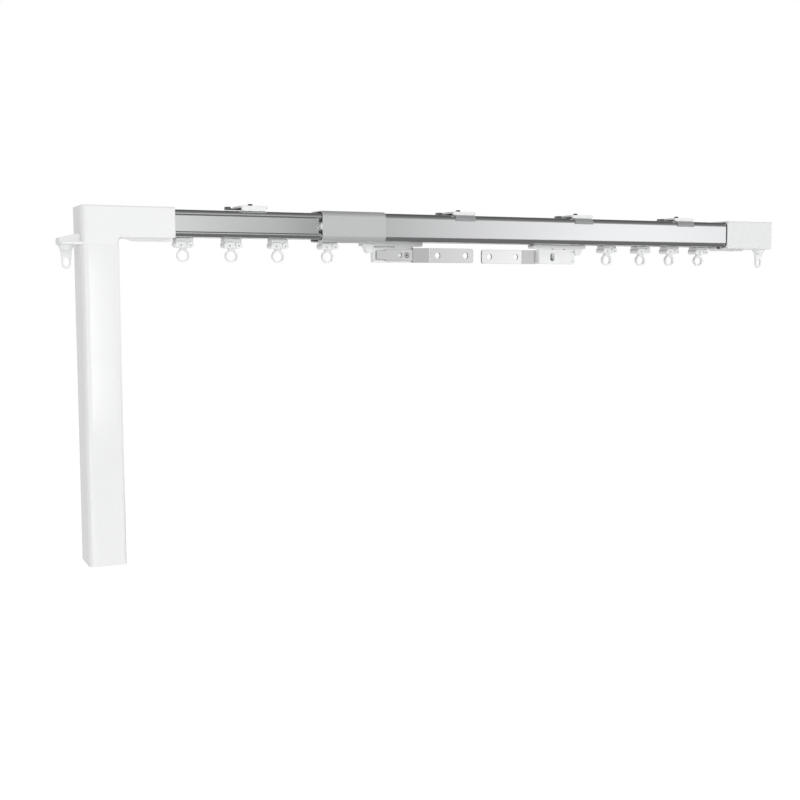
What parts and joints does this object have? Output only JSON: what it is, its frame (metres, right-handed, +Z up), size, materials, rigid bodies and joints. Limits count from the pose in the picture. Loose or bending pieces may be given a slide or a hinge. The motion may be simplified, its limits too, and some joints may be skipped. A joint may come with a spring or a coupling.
{
  "type": "electric curtain track",
  "caption": "Telescopic curtain track with a motor column, belt-driven master carriers with overlap arms, gliders with rings, ceiling clips and end hooks.",
  "frame": {"origin": "middle of the second ceiling clip's top face, on the ceiling plane", "axes": "+X along the track from the motor to the return end, +Y to the wall, +Z up"},
  "size_m": [0.7815, 0.0434, 0.3225],
  "materials": {
    "anodised_rail": "brushed, anodised",
    "grey_sleeve": "satin",
    "inner_aluminium": "extruded",
    "white_shell": "satin white",
    "white_moulding": "white",
    "nylon": "white nylon",
    "steel": "zinc plated",
    "lever_steel": "plain",
    "black_screw": "black oxide",
    "belt_rubber": "matt",
    "motor_can": "dark zinc",
    "board": "solder mask",
    "black_plastic": "matt",
    "button_plastic": "satin"
  },
  "bodies": {
    "outer_section": {"outer_rail": "anodised_rail", "joint_sleeve": "grey_sleeve", "guide_buttons": "nylon", "return_housing": "white_shell", "return_stop": "white_shell", "return_axle": "steel", "clip_plate_2": "white_moulding", "clip_plate_3": "white_moulding", "clip_plate_4": "white_moulding", "outer_clip_screws": "black_screw", "drive_belt": "belt_rubber"},
    "inner_section": {"inner_rail": "inner_aluminium", "drive_head": "white_shell", "head_lid": "white_shell", "motor_tube": "white_shell", "motor_end_cap": "white_shell", "gearbox": "steel", "gear_motor": "motor_can", "control_board": "board", "output_bearing": "steel", "power_inlet": "black_plastic", "hook_arm": "white_shell", "clip_plate_1": "white_moulding", "inner_clip_screw": "black_screw"},
    "drive_pulley": {"drive_pulley": "nylon"},
    "return_pulley": {"return_pulley": "nylon"},
    "setting_button": {"setting_button": "button_plastic"},
    "left_hook": {"left_hook": "white_moulding"},
    "right_hook": {"right_hook": "white_moulding"},
    "left_carrier": {"left_carrier": "white_moulding", "left_arm": "steel", "left_belt_clamp": "nylon"},
    "right_carrier": {"right_carrier": "white_moulding", "right_arm": "steel", "right_belt_clamp": "nylon"},
    "clip_lever_1": {"clip_lever_1": "lever_steel"},
    "clip_lever_2": {"clip_lever_2": "lever_steel"},
    "clip_lever_3": {"clip_lever_3": "lever_steel"},
    "clip_lever_4": {"clip_lever_4": "lever_steel"},
    "left_wheels_1": {"left_wheels_1": "nylon"},
    "left_wheels_2": {"left_wheels_2": "nylon"},
    "right_wheels_1": {"right_wheels_1": "nylon"},
    "right_wheels_2": {"right_wheels_2": "nylon"},
    "glider_1": {"glider_1": "white_moulding"},
    "glider_wheels_1": {"glider_wheels_1": "nylon"},
    "glider_2": {"glider_2": "white_moulding"},
    "glider_wheels_2": {"glider_wheels_2": "nylon"},
    "glider_3": {"glider_3": "white_moulding"},
    "glider_wheels_3": {"glider_wheels_3": "nylon"},
    "glider_4": {"glider_4": "white_moulding"},
    "glider_wheels_4": {"glider_wheels_4": "nylon"},
    "glider_5": {"glider_5": "white_moulding"},
    "glider_wheels_5": {"glider_wheels_5": "nylon"},
    "glider_6": {"glider_6": "white_moulding"},
    "glider_wheels_6": {"glider_wheels_6": "nylon"},
    "glider_7": {"glider_7": "white_moulding"},
    "glider_wheels_7": {"glider_wheels_7": "nylon"},
    "glider_8": {"glider_8": "white_moulding"},
    "glider_wheels_8": {"glider_wheels_8": "nylon"}
  },
  "joints": [
    {"name": "telescope_slide", "type": "slide", "parent": "outer_section", "child": "inner_section", "axis": [1, 0, 0], "range_m": [-0.07, 0], "deforming": ["drive_belt"]},
    {"name": "left_carrier_slide", "type": "slide", "parent": "inner_section", "child": "left_carrier", "axis": [1, 0, 0], "range_m": [-0.1, 0], "deforming": ["drive_belt"]},
    {"name": "right_carrier_slide", "type": "slide", "parent": "outer_section", "child": "right_carrier", "axis": [1, 0, 0], "range_m": [0, 0.1]},
    {"name": "drive_pulley_spin", "type": "hinge", "parent": "inner_section", "child": "drive_pulley", "pos_m": [-0.3573, 0, -0.0171], "axis": [0, 0, 1], "continuous": true},
    {"name": "return_pulley_spin", "type": "hinge", "parent": "outer_section", "child": "return_pulley", "pos_m": [0.366, 0, -0.0171], "axis": [0, 0, 1], "continuous": true},
    {"name": "left_wheels_1_spin", "type": "hinge", "parent": "left_carrier", "child": "left_wheels_1", "pos_m": [-0.0982, 0, -0.0239], "axis": [0, 1, 0], "continuous": true},
    {"name": "right_wheels_1_spin", "type": "hinge", "parent": "right_carrier", "child": "right_wheels_1", "pos_m": [0.0911, 0, -0.02535], "axis": [0, 1, 0], "continuous": true},
    {"name": "left_wheels_2_spin", "type": "hinge", "parent": "left_carrier", "child": "left_wheels_2", "pos_m": [-0.0482, 0, -0.0239], "axis": [0, 1, 0], "continuous": true},
    {"name": "right_wheels_2_spin", "type": "hinge", "parent": "right_carrier", "child": "right_wheels_2", "pos_m": [0.1411, 0, -0.02535], "axis": [0, 1, 0], "continuous": true},
    {"name": "glider_1_slide", "type": "slide", "parent": "inner_section", "child": "glider_1", "axis": [1, 0, 0], "range_m": [-0.0023, 0]},
    {"name": "glider_wheels_1_spin", "type": "hinge", "parent": "glider_1", "child": "glider_wheels_1", "pos_m": [-0.2803, 0, -0.0239], "axis": [0, 1, 0], "continuous": true},
    {"name": "glider_2_slide", "type": "slide", "parent": "inner_section", "child": "glider_2", "axis": [1, 0, 0], "range_m": [-0.0304, 0]},
    {"name": "glider_wheels_2_spin", "type": "hinge", "parent": "glider_2", "child": "glider_wheels_2", "pos_m": [-0.2351, 0, -0.0239], "axis": [0, 1, 0], "continuous": true},
    {"name": "glider_3_slide", "type": "slide", "parent": "inner_section", "child": "glider_3", "axis": [1, 0, 0], "range_m": [-0.0583, 0]},
    {"name": "glider_wheels_3_spin", "type": "hinge", "parent": "glider_3", "child": "glider_wheels_3", "pos_m": [-0.1901, 0, -0.0239], "axis": [0, 1, 0], "continuous": true},
    {"name": "glider_4_slide", "type": "slide", "parent": "inner_section", "child": "glider_4", "axis": [1, 0, 0], "range_m": [-0.091, 0]},
    {"name": "glider_wheels_4_spin", "type": "hinge", "parent": "glider_4", "child": "glider_wheels_4", "pos_m": [-0.1403, 0, -0.0239], "axis": [0, 1, 0], "continuous": true},
    {"name": "glider_5_slide", "type": "slide", "parent": "outer_section", "child": "glider_5", "axis": [1, 0, 0], "range_m": [0, 0.0822]},
    {"name": "glider_wheels_5_spin", "type": "hinge", "parent": "glider_5", "child": "glider_wheels_5", "pos_m": [0.179, 0, -0.02535], "axis": [0, 1, 0], "continuous": true},
    {"name": "glider_6_slide", "type": "slide", "parent": "outer_section", "child": "glider_6", "axis": [1, 0, 0], "range_m": [0, 0.0554]},
    {"name": "glider_wheels_6_spin", "type": "hinge", "parent": "glider_6", "child": "glider_wheels_6", "pos_m": [0.2228, 0, -0.02535], "axis": [0, 1, 0], "continuous": true},
    {"name": "glider_7_slide", "type": "slide", "parent": "outer_section", "child": "glider_7", "axis": [1, 0, 0], "range_m": [0, 0.0339]},
    {"name": "glider_wheels_7_spin", "type": "hinge", "parent": "glider_7", "child": "glider_wheels_7", "pos_m": [0.2613, 0, -0.02535], "axis": [0, 1, 0], "continuous": true},
    {"name": "glider_8_slide", "type": "slide", "parent": "outer_section", "child": "glider_8", "axis": [1, 0, 0], "range_m": [0, 0.0113]},
    {"name": "glider_wheels_8_spin", "type": "hinge", "parent": "glider_8", "child": "glider_wheels_8", "pos_m": [0.3009, 0, -0.02535], "axis": [0, 1, 0], "continuous": true},
    {"name": "clip_lever_1_turn", "type": "hinge", "parent": "inner_section", "child": "clip_lever_1", "pos_m": [-0.2165, 0, -0.003], "axis": [0, 0, 1], "range_deg": [-90, 0]},
    {"name": "clip_lever_2_turn", "type": "hinge", "parent": "outer_section", "child": "clip_lever_2", "pos_m": [0, 0, -0.003], "axis": [0, 0, 1], "range_deg": [-90, 0]},
    {"name": "clip_lever_3_turn", "type": "hinge", "parent": "outer_section", "child": "clip_lever_3", "pos_m": [0.139, 0, -0.003], "axis": [0, 0, 1], "range_deg": [-90, 0]},
    {"name": "clip_lever_4_turn", "type": "hinge", "parent": "outer_section", "child": "clip_lever_4", "pos_m": [0.27, 0, -0.003], "axis": [0, 0, 1], "range_deg": [-90, 0]},
    {"name": "left_hook_swivel", "type": "hinge", "parent": "inner_section", "child": "left_hook", "pos_m": [-0.3846, -0.0075, -0.0373], "axis": [0, 0, 1], "continuous": true},
    {"name": "right_hook_swivel", "type": "hinge", "parent": "outer_section", "child": "right_hook", "pos_m": [0.38, -0.0075, -0.0322], "axis": [0, 0, 1], "continuous": true},
    {"name": "setting_button_press", "type": "slide", "parent": "inner_section", "child": "setting_button", "axis": [0, 0, 1], "range_m": [0, 0.0009], "stiffness_N_per_m": 300, "springref_m": -0.001}
  ],
  "couplings": [
    {"joint": "right_carrier_slide", "follows": "left_carrier_slide", "ratio": -1},
    {"joint": "drive_pulley_spin", "follows": "left_carrier_slide", "rad_per_m": 125.66},
    {"joint": "return_pulley_spin", "follows": "left_carrier_slide", "rad_per_m": 125.66},
    {"joint": "left_wheels_1_spin", "follows": "left_carrier_slide", "rad_per_m": 250},
    {"joint": "right_wheels_1_spin", "follows": "left_carrier_slide", "rad_per_m": -250},
    {"joint": "left_wheels_2_spin", "follows": "left_carrier_slide", "rad_per_m": 250},
    {"joint": "right_wheels_2_spin", "follows": "left_carrier_slide", "rad_per_m": -250},
    {"joint": "glider_1_slide", "follows": "left_carrier_slide", "ratio": 0.023},
    {"joint": "glider_wheels_1_spin", "follows": "left_carrier_slide", "rad_per_m": 5.75},
    {"joint": "glider_2_slide", "follows": "left_carrier_slide", "ratio": 0.304},
    {"joint": "glider_wheels_2_spin", "follows": "left_carrier_slide", "rad_per_m": 76},
    {"joint": "glider_3_slide", "follows": "left_carrier_slide", "ratio": 0.583},
    {"joint": "glider_wheels_3_spin", "follows": "left_carrier_slide", "rad_per_m": 145.75},
    {"joint": "glider_4_slide", "follows": "left_carrier_slide", "ratio": 0.91},
    {"joint": "glider_wheels_4_spin", "follows": "left_carrier_slide", "rad_per_m": 227.5},
    {"joint": "glider_5_slide", "follows": "left_carrier_slide", "ratio": -0.822},
    {"joint": "glider_wheels_5_spin", "follows": "left_carrier_slide", "rad_per_m": -205.5},
    {"joint": "glider_6_slide", "follows": "left_carrier_slide", "ratio": -0.554},
    {"joint": "glider_wheels_6_spin", "follows": "left_carrier_slide", "rad_per_m": -138.5},
    {"joint": "glider_7_slide", "follows": "left_carrier_slide", "ratio": -0.339},
    {"joint": "glider_wheels_7_spin", "follows": "left_carrier_slide", "rad_per_m": -84.75},
    {"joint": "glider_8_slide", "follows": "left_carrier_slide", "ratio": -0.113},
    {"joint": "glider_wheels_8_spin", "follows": "left_carrier_slide", "rad_per_m": -28.25}
  ]
}
